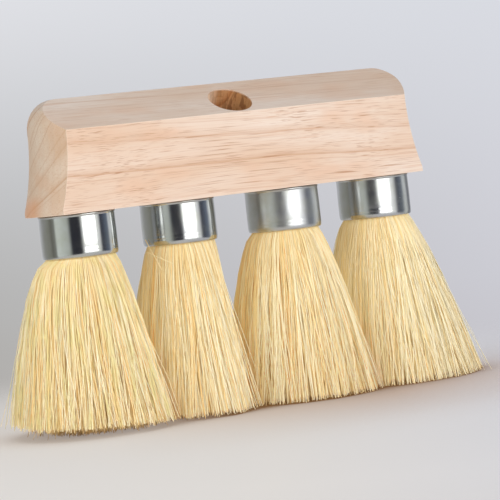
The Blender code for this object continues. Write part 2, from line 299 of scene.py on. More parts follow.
def floorMesh():
    # a round sheet, in rings about its middle
    rings, sides = studio["floorRings"], studio["floorSides"]
    side = np.arange(sides)
    after = (side + 1) % sides
    angle = math.tau * side / sides
    radius = studio["floorReach"] * np.arange(1, rings + 1)[:, None] / rings
    points = np.stack([radius * np.cos(angle), radius * np.sin(angle), radius * 0 * angle], axis=2)
    points = np.concatenate([np.zeros((1, 3)), points.reshape(-1, 3)])
    triangles = np.stack([side * 0, 1 + side, 1 + after], axis=1)
    first = 1 + np.arange(rings - 1)[:, None] * sides
    quads = np.stack([first + side, first + sides + side, first + sides + after, first + after], axis=2)
    return meshFromArrays("studioFloor", points, [triangles, quads.reshape(-1, 4)])


def makeFloor():
    floor = floorMesh()
    floor.location = studio["floorCentre"]
    material, shader, add = newMaterial("matteSweep", studio["floorRoughness"])
    place = add("TexCoord", output="Object")
    across = add("VectorMath.DOT_PRODUCT", {1: rightward}, {0: place}, "Value")

    # painted shadows, from ambient occlusion: a wide one and a close one
    samples = studio["shadowSamples"]
    wide = add("AmbientOcclusion", {"samples": samples, "Distance": studio["shadowReach"]}, output="AO")
    hidden = add("Math.SUBTRACT", {0: 1.0}, {1: wide})
    weight = add("MapRange", studio["shadowRange"], {0: across})
    soft = add("Math.MULTIPLY", {"use_clamp": True}, {0: hidden, 1: weight})
    close = add("AmbientOcclusion", {"samples": samples, "Distance": studio["touchReach"]}, output="AO")
    touching = add("MapRange", studio["touchRange"], {0: close})
    deepening = add("MapRange", studio["deepRange"], {0: across})
    deeper = add("Math.MULTIPLY", links={0: touching, 1: deepening})
    shade = add("Math.MAXIMUM", links={0: soft, 1: deeper})

    # the tint of the painted shadow and of the open floor
    shadowTint = add("Mix", {6: studio["shadowTint"], 7: studio["touchTint"]}, {0: touching})
    base = add("Mix", {6: studio["floorColour"]}, {0: shade, 7: shadowTint})
    connect(shader, {"Base Color": base})
    cooler = add("MapRange", studio["glowRange"], {0: across})
    openFloor = add("Mix", {6: studio["floorGlow"], 7: studio["floorGlowRight"]}, {0: cooler})
    lift = add("Mix", links={0: shade, 6: openFloor, 7: shadowTint})
    glow = add("Emission", links={"Color": lift})
    lit = add("MixShader", {0: studio["floorGlowShare"]}, {1: shader.outputs[0], 2: glow})

    # it fades into the backdrop
    away = add("VectorMath.LENGTH", links={0: place}, output="Value")
    near, far = studio["floorFade"]
    fade = add("MapRange", {1: near, 2: far, **eased}, {0: away})
    blend = add("MixShader", links={0: fade, 1: lit, 2: add("BsdfTransparent")})
    connect(material.node_tree.nodes["Material Output"], {"Surface": blend})
    floor.data.materials.append(material)


def makeLamp(name, heading, elevation, distance, size, power, mirrored):
    towards = pointing(heading, elevation)
    data = bpy.data.lights.new(name, "AREA")
    data.shape = "RECTANGLE"
    data.size, data.size_y = size
    data.energy = power
    lamp = newThing(name, data)
    lamp.location = Vector(studio["lampAim"]) + towards * distance
    lamp.rotation_euler = towards.to_track_quat("Z", "Y").to_euler()
    lamp.visible_camera = False
    lamp.visible_glossy = mirrored


makeWorld()
makeFloor()
for values in studio["lamps"]:
    makeLamp(*values)
scene.view_settings.view_transform = "Standard"
print("studio set")


# block: rubberwood, planed and sanded, left bare

block = {
    "light": "f5e2d2",
    "tan": "e8c7ac",
    "ringLine": "d2a27e",
    "pore": "c08c68",
    "hair": "d8a37e",
    "blotch": "ecbb98",
    "slant": "ebf0f4",  # painted shade: faces that look up are made greyer and a little cooler than the front
    # painted highlight along the edges
    "edge": "fdf0e2",
    "endGrain": "dad8ce",
    "endOrange": "df9f74",
    "bore": "d9b88c",
    "borePale": "ffe2c4",
    "boreStreak": "80522e",
    "roughness": 0.62,
    "roughSpread": (-0.06, 0.10),
    "bumpDepth": 0.10,  # mm
    "bumpStrength": 0.35,
    "edgeWidth": 0.9,  # mm
    "edgeSamples": 4,
    "ringCentre": (0.0, 0.060, 0.25565), # metres; the pith runs along the block, up behind its rear edge
    "ringTilt": (1.4, -1.1),  # degrees, about Y and Z, so that the lines run out on the faces
    "ringWidth": 5.6,  # mm between growth rings
    "ringUneven": {"noise_dimensions": "1D", "Scale": 0.55, "Detail": 2.0},
    "ringSpread": 2.4,  # how far the width between them varies
    "ringStrength": {"noise_dimensions": "1D", "Scale": 0.9, "Detail": 1.0},
    "ringStops": ((0.0, 0.85), (0.07, 0.10), (0.55, 0.0), (0.86, 0.22), (1.0, 0.95)),
    "waveLength": 110.0,  # mm
    "waveStretch": (0.45, 1.0, 1.0),
    "waveDepth": 8.0,  # mm that the grain wanders
    # for each noise: sizes in mm along X, Y and Z, its shift along the block and its settings
    "patterns": {
        "tone": ((166.7, 29.41, 29.41), 0.0, {"Detail": 3.0, "Roughness": 0.55}),
        "blotch": ((45.45, 18.18, 18.18), 3.1, {"Detail": 2.0, "Roughness": 0.5}),
        "fine": ((75.0, 0.8, 0.8), 0.0, {"Detail": 3.0, "Roughness": 0.6}),
        # real vessels are 0.2 mm across: drawn coarser, to show
        "pore": ((30.0, 0.44, 0.44), 0.0, {"Detail": 1.0, "Roughness": 0.4}),
        "porePatch": ((34.965, 13.986, 13.986), 4.03, {"Detail": 2.0, "Roughness": 0.5}),
    },
    "ranges": {
        "tone": {1: 0.34, 2: 0.68},
        "blotch": {1: 0.50, 2: 0.72, 4: 0.42, **eased},
        "streak": {1: 0.42, 2: 0.72, 4: 0.55},
        "hair": {1: 0.57, 2: 0.74, 4: 0.48},
        "ring": {1: 0.38, 2: 0.68},
        "slope": {1: 0.60, 2: 0.80},  # by how far a face looks up
        "sawn": {3: 1.0, 4: 0.45},  # rings and vessels show less on the slope
        "poreEnd": {1: 0.40, 2: 0.75, 3: 1.0, 4: 0.12},  # and vessels hardly at the ends
        "porePatch": {1: 0.36, 2: 0.60, 3: 0.40, 4: 1.0},
        "pore": {1: 0.595, 2: 0.70, 4: 0.82},
        "end": {1: 0.45, 2: 0.85, 4: 0.60, **eased},
        "foot": {1: 0.150, 2: 0.141, 4: 0.95, **eased},  # metres up
        "rear": {1: -0.014, 2: -0.003, 3: 0.05, 4: 1.0},  # metres back
        "edge": {1: 0.985, 2: 0.90, 4: 0.45},
        "blunt": {1: 0.03, 2: 0.14, 3: 1.0, 4: 0.15},
        "mouth": {1: -0.0002, 2: -0.0012},  # metres down the bore
        "boreDark": {1: 0.47, 2: 0.56},
        "boreCut": {1: 0.000, 2: 0.010, 3: 0.26, 4: 0.75},  # metres from the bore's axis towards +X
        "boreSmooth": {1: 0.000, 2: -0.009, 4: 1.0},
    },
    "poreCrowd": 0.07,  # how much closer vessels stand beside the ring lines
    "poreGroove": 0.8,
    "boreRadius": 14.5,  # mm
    "boreDepth": 51.5,  # mm down from the mouth, past the floor
    "boreCentre": (0.0, -0.014795, 0.194347),
    "boreAxis": (0.0, -0.52881008, 0.84874018),
    "boreCell": (1.5625, 7.692, 7.692),  # mm, the streaks that the bit leaves
}


def rubberwoodSanded():
    # close, slightly pink hardwood: straight open vessels show as brown dashes along the grain and as
    # dots on the ends, over soft growth rings; sanded, so the sheen is dull and the edges stay crisp
    material, shader, add = newMaterial("rubberwoodSanded", block["roughness"])
    coords = add("TexCoord").node.outputs
    place = coords["Object"]
    position = add("SeparateXYZ", links={0: place}).node.outputs
    normal = add("SeparateXYZ", links={0: coords["Normal"]}).node.outputs
    endwise = add("Math.ABSOLUTE", links={0: normal["X"]})

    # the grain wanders slowly along the block
    tiltY, tiltZ = (math.radians(value) for value in block["ringTilt"])
    fromPith = add("Mapping", {
        "vector_type": "TEXTURE", "Location": block["ringCentre"], "Rotation": (0, tiltY, tiltZ)}, {0: place})
    wavy = add("Mapping", {"Scale": block["waveStretch"]}, {0: fromPith})
    wave = add("TexNoise", {"Scale": 1000 / block["waveLength"], "Detail": 2.0}, {0: wavy}, "Color")
    centred = add("VectorMath.SUBTRACT", {1: (0.5, 0.5, 0.5)}, {0: wave})
    shift = add("VectorMath.SCALE", {"Scale": 2 * block["waveDepth"] * mm}, {0: centred})
    grain = add("VectorMath.ADD", links={0: fromPith, 1: shift})

    # growth rings of uneven width and strength
    flat = add("VectorMath.MULTIPLY", {1: (0, 1, 1)}, {0: grain})
    radius = add("VectorMath.LENGTH", links={0: flat}, output="Value")
    ringPlace = add("Math.MULTIPLY", {1: 1000 / block["ringWidth"]}, {0: radius})
    uneven = add("TexNoise", block["ringUneven"], {"W": ringPlace})
    ringTurn = add("Math.MULTIPLY_ADD", {1: block["ringSpread"]}, {0: uneven, 2: ringPlace})
    saw = add("Math.FRACT", links={0: ringTurn})
    ringMask = add("ValToRGB", links={0: saw})
    setRamp(ringMask.node, block["ringStops"], "EASE")
    strength = add("TexNoise", block["ringStrength"], {"W": ringPlace})

    # tone, blotches, fine streaks, vessels and the patches that these come in
    noise = {}
    for key, (sizes, start, settings) in block["patterns"].items():
        spread = add("Mapping", {"Scale": perMetre(sizes), "Location": (start, 0, 0)}, {0: grain})
        noise[key] = add("TexNoise", {"Scale": 1.0, **settings}, {0: spread})
    mask = {}
    for key, source in (
            ("tone", noise["tone"]), ("blotch", noise["blotch"]), ("streak", noise["fine"]),
            ("hair", noise["fine"]), ("porePatch", noise["porePatch"]), ("ring", strength),
            ("slope", normal["Z"]), ("end", endwise), ("poreEnd", endwise),
            ("foot", position["Z"]), ("rear", position["Y"])):
        mask[key] = add("MapRange", block["ranges"][key], {0: source})
    sawn = add("MapRange", block["ranges"]["sawn"], {0: mask["slope"]})
    for factor in (mask["ring"], sawn):
        ringMask = add("Math.MULTIPLY", links={0: ringMask, 1: factor})
    crowd = add("Math.MULTIPLY_ADD", {1: block["poreCrowd"]}, {0: ringMask, 2: noise["pore"]})
    poreMask = add("MapRange", block["ranges"]["pore"], {0: crowd})
    for factor in (mask["poreEnd"], sawn, mask["porePatch"]):
        poreMask = add("Math.MULTIPLY", links={0: poreMask, 1: factor})

    # the ends drink in more of everything and stay darker, and orange at the foot towards the rear
    footMask = mask["foot"]
    for factor in (mask["rear"], mask["end"]):
        footMask = add("Math.MULTIPLY", links={0: footMask, 1: factor})

    # painted highlight: the edges are painted paler, but not where the slope meets an end, since that edge is
    # blunt
    rounded = add("Bevel", {"samples": block["edgeSamples"], "Radius": block["edgeWidth"] * mm})
    facing = add("NewGeometry", output="True Normal")
    flatness = add("VectorMath.DOT_PRODUCT", links={0: rounded, 1: facing}, output="Value")
    edgeLightMask = add("MapRange", block["ranges"]["edge"], {0: flatness})
    turned = add("SeparateXYZ", links={0: rounded}).node.outputs
    sideways = add("Math.ABSOLUTE", links={0: turned["X"]})
    corner = add("Math.MULTIPLY", links={0: sideways, 1: turned["Z"]})
    blunt = add("MapRange", block["ranges"]["blunt"], {0: corner})
    paintedEdgeLight = add("Math.MULTIPLY", links={0: edgeLightMask, 1: blunt})

    # the bored socket is burnished brown by the bit
    fromBore = add("VectorMath.SUBTRACT", {1: block["boreCentre"]}, {0: place})
    offAxis = add("VectorMath.CROSS_PRODUCT", {1: block["boreAxis"]}, {0: fromBore})
    boreReach = add("VectorMath.LENGTH", links={0: offAxis}, output="Value")
    depth = add("VectorMath.DOT_PRODUCT", {1: block["boreAxis"]}, {0: fromBore}, "Value")
    boreMask = add("Math.LESS_THAN", {1: block["boreRadius"] * mm}, {0: boreReach})
    under = add("MapRange", block["ranges"]["mouth"], {0: depth})
    above = add("Math.GREATER_THAN", {1: -block["boreDepth"] * mm}, {0: depth})
    for factor in (under, above):
        boreMask = add("Math.MULTIPLY", links={0: boreMask, 1: factor})

    # the bit leaves streaks on the wall towards +X, which it cut across the grain; the other is smooth
    boreMap = add("Mapping", {"Scale": perMetre(block["boreCell"])}, {0: fromBore})
    boreNoise = add("TexNoise", {"Scale": 1.0, "Detail": 2.0}, {0: boreMap})
    boreX = add("SeparateXYZ", links={0: fromBore}, output="X")
    for key, source in (("boreDark", boreNoise), ("boreCut", boreX), ("boreSmooth", boreX)):
        mask[key] = add("MapRange", block["ranges"][key], {0: source})
    paleMask = add("Math.MULTIPLY", links={0: mask["boreSmooth"], 1: boreMask})
    streakMask = mask["boreDark"]
    for factor in (mask["boreCut"], boreMask):
        streakMask = add("Math.MULTIPLY", links={0: streakMask, 1: factor})

    # all of it, one over the other, with painted shade on faces that look up and a painted highlight on the
    # edges
    colour = add("Mix", {6: block["light"], 7: block["tan"]}, {0: mask["tone"]})
    for share, key, how in (
            (mask["blotch"], "blotch", "MIX"), (mask["streak"], "tan", "MIX"), (mask["hair"], "hair", "MIX"),
            (ringMask, "ringLine", "MIX"), (poreMask, "pore", "MIX"), (mask["end"], "endGrain", "MULTIPLY"),
            (footMask, "endOrange", "MIX"), (mask["slope"], "slant", "MULTIPLY"), (paintedEdgeLight, "edge", "MIX"),
            (boreMask, "bore", "MULTIPLY"), (paleMask, "borePale", "MIX"), (streakMask, "boreStreak", "MIX")):
        colour = add("Mix", {"blend_type": how, 7: block[key]}, {0: share, 6: colour})

    # the vessels are tiny open grooves, and the surface between them is a little fuzzy
    smoothest, roughest = (block["roughness"] + step for step in block["roughSpread"])
    rough = add("MapRange", {3: smoothest, 4: roughest}, {0: noise["fine"]})
    groove = add("Math.MULTIPLY_ADD", {1: -block["poreGroove"]}, {0: poreMask, 2: noise["fine"]})
    bump = add("Bump", {"Strength": block["bumpStrength"], "Distance": block["bumpDepth"] * mm},
               {"Height": groove})
    connect(shader, {"Base Color": colour, "Roughness": rough, "Normal": bump})
    return material


dress("block", rubberwoodSanded())
print("block dressed")


# ferrules: steel cups, deep drawn and bright nickel plated

ferrule = {
    "radius": 23.8,  # mm, as are all the lengths here
    "height": 26.7,
    "foot": 107.95,
    "wall": 0.7,
    "hole": 2.8,
    "shoulder": 1.1,
    "topRing": 0.45,  # share of the radius
    "innerLip": (0.5, 0.75), # further in than the wall, and the share of the tuck's height where that is
    "innerRise": 0.8,
    "rimRadius": 0.55,
    "rimProud": 0.17,  # a bead rolled round the upper edge stands out this far
    "rimDrop": 1.15,
    "tuckRadius": 9.0,  # the skirt draws in over its last few millimetres
    "tuckTurn": 17.0,  # degrees
    "beadRadius": 0.75,
    "beadPast": 0.5,  # radians that the lip is rolled past half a turn
    "rollLines": (3.9, 6.1),  # heights of the fine lines that the rolling tool leaves above the lip
    "rollDepth": 0.03,
    "rollHalf": 0.3,
    "sides": 144,
    "arcSteps": 8,
    "sharpFrom": 50.0,  # degrees between faces
    "seed": 40,
    "dents": (0.05, 0.04, 0.07, 0.06),  # how far each cup is out of true
    # waves round the cup: how many, their share of the dent and their twist from foot to top in radians
    "dentWaves": ((2, 0.6, 0), (3, 0.3, 2), (7, 0.16, -3)),
    "places": ((-111.0, -3.0), (-37.0, 3.0), (37.0, -3.0), (111.0, 3.0)),
    "roughness": (0.12, 0.17, 0.31, 0.21),
    "plate": "c8cacb",
    "warmPlate": "bfc1ba",
    "hazeSize": 11.111,
    "hazeRange": {1: 0.3, 2: 0.7},
    "hazeSpread": (-0.03, 0.05),
    "warmRange": {1: 0.35, 2: 0.70},
    "specks": 0.9,  # between specks in the plating
    "speckRange": {1: 0.62, 2: 0.74, 4: 0.05},
    "drawMarks": (0.71429, 0.71429, 25.0),
    "markDepth": 0.02,
    "markStrength": 0.06,
}


def arc(centre, radius, start, end, steps):
    angles = np.linspace(start, end, steps + 1)
    return [(centre[0] + radius * math.cos(angle), centre[1] + radius * math.sin(angle)) for angle in angles]


def ferruleProfile():
    # from the hole over the top, down the outside, round the lip and up again inside the wall
    radius, height, shoulder = ferrule["radius"], ferrule["height"], ferrule["shoulder"]
    steps, wall, half = ferrule["arcSteps"], ferrule["wall"], ferrule["rollHalf"]
    rimRadius, rimProud = ferrule["rimRadius"], ferrule["rimProud"]
    rimTop = height - rimRadius
    profile = [(ferrule["hole"], height), (radius * ferrule["topRing"], height)]
    profile += arc((radius + rimProud - rimRadius, rimTop), rimRadius, math.pi / 2, 0, steps)
    for step in range(1, 2 * steps + 1):
        share = step / (2 * steps)
        profile.append((radius + rimProud * math.cos(math.pi * share), rimTop - ferrule["rimDrop"] * share))
    tuck, bead = ferrule["tuckRadius"], ferrule["beadRadius"]
    turn = math.radians(ferrule["tuckTurn"])
    tuckTop = (tuck - bead) * math.sin(turn) + bead
    profile.append((radius, (height + tuckTop) / 2))
    for line in reversed(ferrule["rollLines"]):
        profile += [(radius, line + half), (radius - ferrule["rollDepth"], line), (radius, line - half)]
    profile += arc((radius - tuck, tuckTop), tuck, 0, -turn, steps)
    beadCentre = (radius - (tuck - bead) * (1 - math.cos(turn)) - bead, bead)
    profile += arc(beadCentre, bead, -turn, -math.pi - ferrule["beadPast"], 2 * steps)[1:]
    further, share = ferrule["innerLip"]
    profile += [(radius - wall - further, tuckTop * share), (radius - wall, tuckTop + ferrule["innerRise"])]
    profile += arc((radius - shoulder, height - shoulder), shoulder - wall, 0, math.pi / 2, steps)
    return np.array(profile + [(ferrule["hole"], height - wall)])


def turnCup(name, profile, centre, dent, chance):
    # a closed ring of faces, out of true by a few hundredths of a millimetre, which bends its reflections
    count, sides, waves = len(profile), ferrule["sides"], ferrule["dentWaves"]
    radius, height = profile.T
    phases = chance.uniform(0, math.tau, len(waves))
    angle = math.tau * np.arange(sides)[:, None] / sides
    off = dent * sum(share * np.cos(number * angle + phase + twist * height / ferrule["height"])
                     for (number, share, twist), phase in zip(waves, phases))
    reach = radius + off * np.minimum(1, radius / ferrule["radius"])
    points = np.stack([centre[0] + reach * np.cos(angle), centre[1] + reach * np.sin(angle),
                       ferrule["foot"] + height + 0 * reach], axis=2)
    side, place = np.arange(sides)[:, None] * count, np.arange(count)
    after, onward = (side + count) % (sides * count), (place + 1) % count
    quads = np.stack([side + place, after + place, after + onward, side + onward], axis=2)
    cup = meshFromArrays(name, points.reshape(-1, 3) * mm, [quads.reshape(-1, 4)])
    cup.data.set_sharp_from_angle(angle=math.radians(ferrule["sharpFrom"]))
    return cup


def brightNickelPlate(number):
    # plated over drawn steel: mirror bright, a little soft at the edges of what it reflects, with faint
    # upright draw marks, specks in the plating and a trace of handling haze
    roughness = ferrule["roughness"][number]
    material, shader, add = newMaterial("brightNickelPlate" + str(number + 1), roughness, 1.0)
    place = add("TexCoord", output="Object")
    haze = add("TexNoise", {"Scale": 1000 / ferrule["hazeSize"], "Detail": 4.0, "Roughness": 0.6}, {0: place})
    tint = add("MapRange", ferrule["warmRange"], {0: haze})
    colour = add("Mix", {6: ferrule["plate"], 7: ferrule["warmPlate"]}, {0: tint})
    speck = add("TexNoise", {"Scale": 1000 / ferrule["specks"], "Detail": 2.0}, {0: place})
    speckMask = add("MapRange", ferrule["speckRange"], {0: speck})
    clearest, haziest = (roughness + step for step in ferrule["hazeSpread"])
    hazeRough = add("MapRange", {**ferrule["hazeRange"], 3: clearest, 4: haziest}, {0: haze})
    rough = add("Math.ADD", links={0: hazeRough, 1: speckMask})
    drawn = add("Mapping", {"Scale": perMetre(ferrule["drawMarks"])}, {0: place})
    marks = add("TexNoise", {"Scale": 1.0, "Detail": 2.0}, {0: drawn})
    bump = add("Bump", {"Strength": ferrule["markStrength"], "Distance": ferrule["markDepth"] * mm},
               {"Height": marks})
    connect(shader, {"Base Color": colour, "Roughness": rough, "Normal": bump})
    return material


def makeFerrules():
    profile = ferruleProfile()
    for number, centre in enumerate(ferrule["places"]):
        chance = np.random.default_rng(ferrule["seed"] + number)
        name = "ferruleCup" + str(number + 1)
        cup = turnCup(name, profile, centre, ferrule["dents"][number], chance)
        cup.data.materials.append(brightNickelPlate(number))
        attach(cup, "root")
        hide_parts("ferrule_" + str(number + 1))


makeFerrules()
print("ferrules made")


# inside the cups: screws and set plugs

inner = {
    "zinc": "b9ae8c",
    "zincDark": "8f866c",
    "zincRoughness": 0.34,
    "zincPatch": {"Scale": 1000 / 1.6667, "Detail": 3.0},  # patches of 1.7 mm
    "zincRange": {1: 0.4, 2: 0.65},
    "zincBump": {"Strength": 0.3, "Distance": 0.05 * mm},
    "pitch": "2c1d10",
    "pitchDark": "170f08",
    "pitchRoughness": 0.42,
    "pitchFlow": {"Scale": 1000 / 6.25, "Detail": 3.0, "Distortion": 0.6},  # folds of 6 mm
    "pitchBump": {"Strength": 0.4, "Distance": 0.2 * mm},
}


def zincPlatedScrewSteel():
    # rolled thread steel under yellow passivated zinc: dull gold with grey rubbed patches
    material, shader, add = newMaterial("zincPlatedScrewSteel", inner["zincRoughness"], 1.0)
    place = add("TexCoord", output="Object")
    patch = add("TexNoise", inner["zincPatch"], {0: place})
    share = add("MapRange", inner["zincRange"], {0: patch})
    colour = add("Mix", {6: inner["zinc"], 7: inner["zincDark"]}, {0: share})
    bump = add("Bump", inner["zincBump"], {"Height": patch})
    connect(shader, {"Base Color": colour, "Normal": bump})
    return material


def pouredPitch():
    # brushmaker's pitch, poured hot: near black brown, glassy where it cooled in the cup
    material, shader, add = newMaterial("pouredPitch", inner["pitchRoughness"])
    place = add("TexCoord", output="Object")
    flow = add("TexNoise", inner["pitchFlow"], {0: place})
    colour = add("Mix", {6: inner["pitch"], 7: inner["pitchDark"]}, {0: flow})
    bump = add("Bump", inner["pitchBump"], {"Height": flow})
    connect(shader, {"Base Color": colour, "Normal": bump})
    return material


screwSteel = zincPlatedScrewSteel()
plugPitch = pouredPitch()
for number in range(1, len(ferrule["places"]) + 1):
    dress("ferrule_screw_" + str(number), screwSteel)
    dress("setting_" + str(number), plugPitch)
print("screws and plugs dressed")


# fibre: bleached tampico, one piece a knot

fibre = {
    "count": 6400,
    "seed": 11,
    "turnSeed": 5,
    "clumps": 780,
    "levels": (-0.07, 0.0, 0.05, 0.12, 0.24, 0.40, 0.58, 0.78, 1.0),  # shares of the free length
    "mouth": 21.2,  # mm, as are all the lengths here
    "free": 107.95,
    "spread": 51.5,
    "sharpness": 8.0,
    "cornerHeading": -32.0,  # degrees
    "width": (0.30, 0.60),  # real tampico is 0.3 to 0.5 mm; a few drawn coarser, to show at this distance
    "tipWidth": 0.72,
    "jitter": (0.006, 0.01), # of each fibre's place, outwards and round
    "clumpJitter": (0.03, 0.12),
    # how firmly a bundle holds, at what levels it takes hold and lets go again, and by how much
    "clumping": 0.36,
    "grip": (0.45, 1.25),
    "holdFrom": (0.04, 0.55),
    "releaseFrom": (0.7, 1.0),
    "release": 0.35,
    "clumpLean": 1.9,
    "leanPower": 1.6,
    "clumpTip": 0.9,
    "sway": 0.9,
    "swayTurn": 5.0,  # radians from mouth to tip
    "swayFrom": (0.05, 0.4),
    "bend": 2.6,
    "bendSpread": 0.95,
    "wave": 0.75,
    "waveTurn": 7.0,
    "waveFrom": (0.02, 0.25),
    "lobes": ((3, 0.06, 1), (5, 0.04, 2)),  # the bulge's waves round the knot: number, height, start
    "splayRise": 0.35,  # the outer fibre was trimmed with the knot pressed out
    "risePower": 2.2,
    "outerRise": (0.50, 0.90),  # shares of the radius over which the tips start to rise
    "leftFrom": (0.45, 0.95),
    "ragged": 0.98,  # how far the tips stop short, on average
    "tipLowest": 0.25,
    "lowest": 0.02,
    "slack": 1.2,  # how far a plain fibre may pass the outline
    "outerFrom": 0.86,  # share of the radius from which a fibre counts as an outer one
    "flyaways": 120,
    "flyLimit": 12.0,
    "flyShape": 1.3,
    "strayPower": 1.5,
    "crossing": 6.0,
    "crossers": 620,  # outer fibres that lie aslant over the rest
    "crossOut": (0.2, 1.4),
    "slant": 7.5,
    "standProud": (8.5, 5.0),  # how far strays may pass the CAD box along X and Y
    # broken fibre ends that lie over the lip of a cup: knot, upper and lower end
    "stubs": (
        (1, (-62.0, 3.2, 112.6), (-60.0, -10.4, 93.0)),
        (1, (-63.0, 1.0, 104.6), (-55.5, -17.0, 96.5)),
    ),
    # for each knot: bulge towards -X and +X, spread towards -X and +X, room before the next knots and before
    # the next one's front corner, rise of the outer tips and of the leftmost ones, how far strays stand out,
    # tone, tint and how much painted shade it has inside
    "knots": (
        {"bulge": (0.44, 0.74), "outwards": (1.5, 0.0), "room": (99.0, 36.0), "corner": 99.0,
         "edgeRise": (4.4, -0.2), "leftLift": 2.0, "fly": 1.8, "tone": 0.56, "green": 0.80, "inside": 0.95},
        {"bulge": (0.66, 0.76), "outwards": (0.0, 0.0), "room": (38.6, 27.0), "corner": 32.0,
         "edgeRise": (-0.4, -2.8), "leftLift": 0.0, "fly": 1.5, "tone": 0.64, "green": 0.10, "inside": 0.58},
        {"bulge": (0.62, 0.72), "outwards": (0.0, 0.0), "room": (50.0, 37.0), "corner": 99.0,
         "edgeRise": (-0.8, -2.4), "leftLift": 0.0, "fly": 1.5, "tone": 0.58, "green": 0.18, "inside": 0.95},
        {"bulge": (0.66, 0.77), "outwards": (0.0, 9.0), "room": (40.0, 99.0), "corner": 99.0,
         "edgeRise": (-2.4, -4.0), "leftLift": 0.0, "fly": 3.2, "tone": 0.76, "green": 0.22, "inside": 0.50},
    ),
    "toneSpread": (0.08, 0.25),  # of the bundles and of the fibres in them
    "strayPaintedLight": 0.16,  # painted light: outer strays are made paler, as they catch more light
    "softNormals": 0.62,  # how far the shading follows the whole knot and not each fibre
    "wholeRise": 3.0,  # and how far that looks up
    "roughness": 0.50,
    "dark": "ecb970",
    "tan": "f9d693",
    "straw": "ffe7b0",
    "cream": "fff7d8",
    "stops": ((0.06, "dark"), (0.32, "tan"), (0.58, "straw"), (0.88, "cream")),
    "mottle": 0.20,
    "mottleCell": (1.923, 1.923, 33.333),
    "greenish": "f2e8a8",
    "greenCell": (4.762, 4.762, 71.43),
    "greenRange": {1: 0.46, 2: 0.66},
    "root": "efd59c",
    "rootRange": {1: 0.0, 2: 0.34, 3: 0.46, 4: 0.0},
    "deep": "b98643",  # painted shade for the fibre inside the knot
    "deepRange": {1: 0.95, 2: 0.74},
    "footRange": {1: 0.35, 2: 0.99},
    "footShade": (0.42, 0.52),
    "darkFoot": "98703c",  # and painted shade for the ends of it, close to the floor
    "behindRange": {1: 0.93, 2: 0.87},
    "tipRange": {1: 0.962, 2: 0.995, 4: 0.9},
    "creaseShade": "c98a42",  # painted shade where it lies against the next knot
    "creaseShare": 0.85,
    "pressReach": 12.5,
    # painted light: the fibre glows a little in this tint
    "paintedGlowTint": "fff0d0",
    "paintedGlowStrength": 0.20,
    "paintedGlowInShade": 0.15,
}


def runDown(heights):
    # 0 at the mouth of the cup and 1 at the floor
    return np.clip((ferrule["foot"] - heights) / fibre["free"], 0, 1)


def knotReach(number, angle):
    # how far the tips reach in one direction, held back where the next knot presses
    knot = fibre["knots"][number]
    across = np.cos(angle)
    left = np.clip(-across, 0, 1) ** 2 * knot["outwards"][0]
    right = np.clip(across, 0, 1) ** 2 * knot["outwards"][1]
    total = (fibre["spread"] + left + right) ** -fibre["sharpness"]
    for side, room in zip((-1, 1), knot["room"]):
        if 0 <= number + side < len(fibre["knots"]):
            towards = np.clip(across * side, 0.001, 1)
            total = total + (room / towards) ** -fibre["sharpness"]
    towards = np.clip(np.cos(angle - math.radians(fibre["cornerHeading"])), 0.001, 1)
    total = total + (knot["corner"] / towards) ** -fibre["sharpness"]
    return total ** (-1 / fibre["sharpness"])


def knotEdge(number, angle, run, bulge, slack=0.0):
    # the knot's outline at one level
    return fibre["mouth"] + (knotReach(number, angle) + slack - fibre["mouth"]) * run ** bulge


def knotPaths(number, u, theta, levels):
    # centre line of every fibre before it is bent: out of the mouth, then down in a soft bulge
    knot = fibre["knots"][number]
    rightShare = (1 + np.cos(theta)) / 2
    bulge = between(*knot["bulge"], rightShare)
    for times, amount, start in fibre["lobes"]:
        bulge = bulge + amount * np.sin(times * theta + start * number)
    reach = knotReach(number, theta)
    share = np.clip(levels, 0, 1) ** bulge[:, None]
    mouth = fibre["mouth"] * u[:, None]
    radius = mouth + (reach * u)[:, None] * share - mouth * share
    out = reach * u - fibre["mouth"] * u
    rise = (fibre["free"] - np.sqrt(fibre["free"] ** 2 - out ** 2)) * fibre["splayRise"]
    edgeRise = between(*knot["edgeRise"], rightShare ** fibre["risePower"])
    leftward = -np.cos(theta - math.radians(fibre["cornerHeading"]))
    leftRise = knot["leftLift"] * smooth(*fibre["leftFrom"], leftward)
    rise = rise + (edgeRise + leftRise) * smooth(*fibre["outerRise"], u)
    return radius, rise


